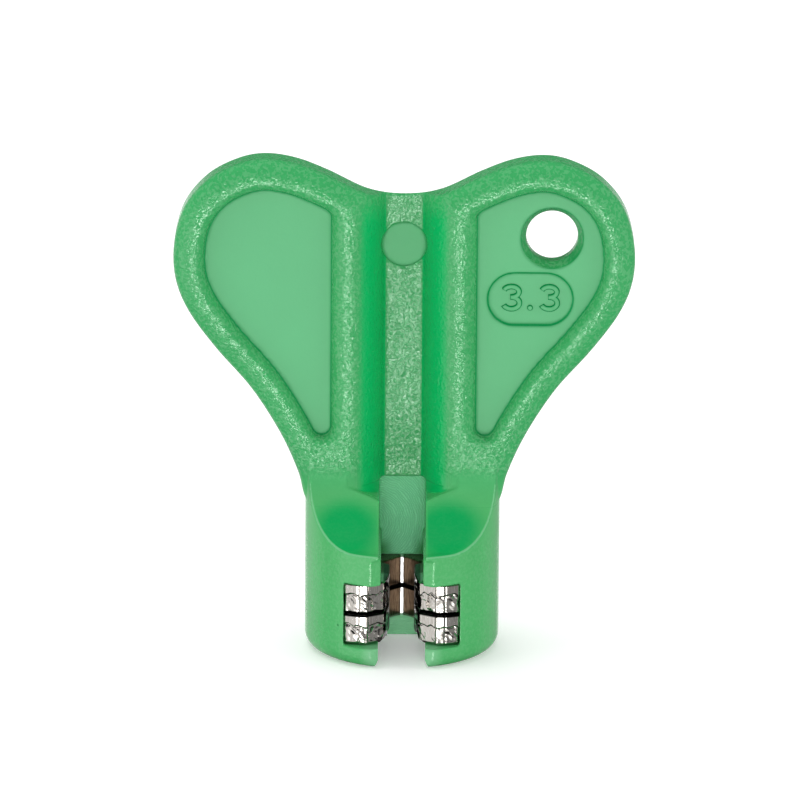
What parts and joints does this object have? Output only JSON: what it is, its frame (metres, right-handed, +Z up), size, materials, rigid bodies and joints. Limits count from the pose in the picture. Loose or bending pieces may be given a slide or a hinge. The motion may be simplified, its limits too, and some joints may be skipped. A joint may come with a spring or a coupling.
{
  "type": "spoke wrench",
  "caption": "Butterfly spoke wrench: a green moulded handle with wings and a hanging hole, and steel jaw plates stacked in its slotted barrel.",
  "frame": {"origin": "On the barrel's axis at its foot face, which is the end the nipple enters", "axes": "+Z runs up the barrel and the spoke to the wings, +X is to the right wing with the hanging hole, and -Y is the front, where the slot and the channel open"},
  "size_m": [0.05, 0.0209, 0.055],
  "materials": {
    "green_plastic": "fine spark-eroded texture with smooth pocket floors",
    "jaw_steel": "nickel plated, blanked edges"
  },
  "bodies": {
    "root": {"handle": "green_plastic", "upper_jaw_plate": "jaw_steel", "lower_jaw_plate": "jaw_steel"}
  },
  "joints": []
}
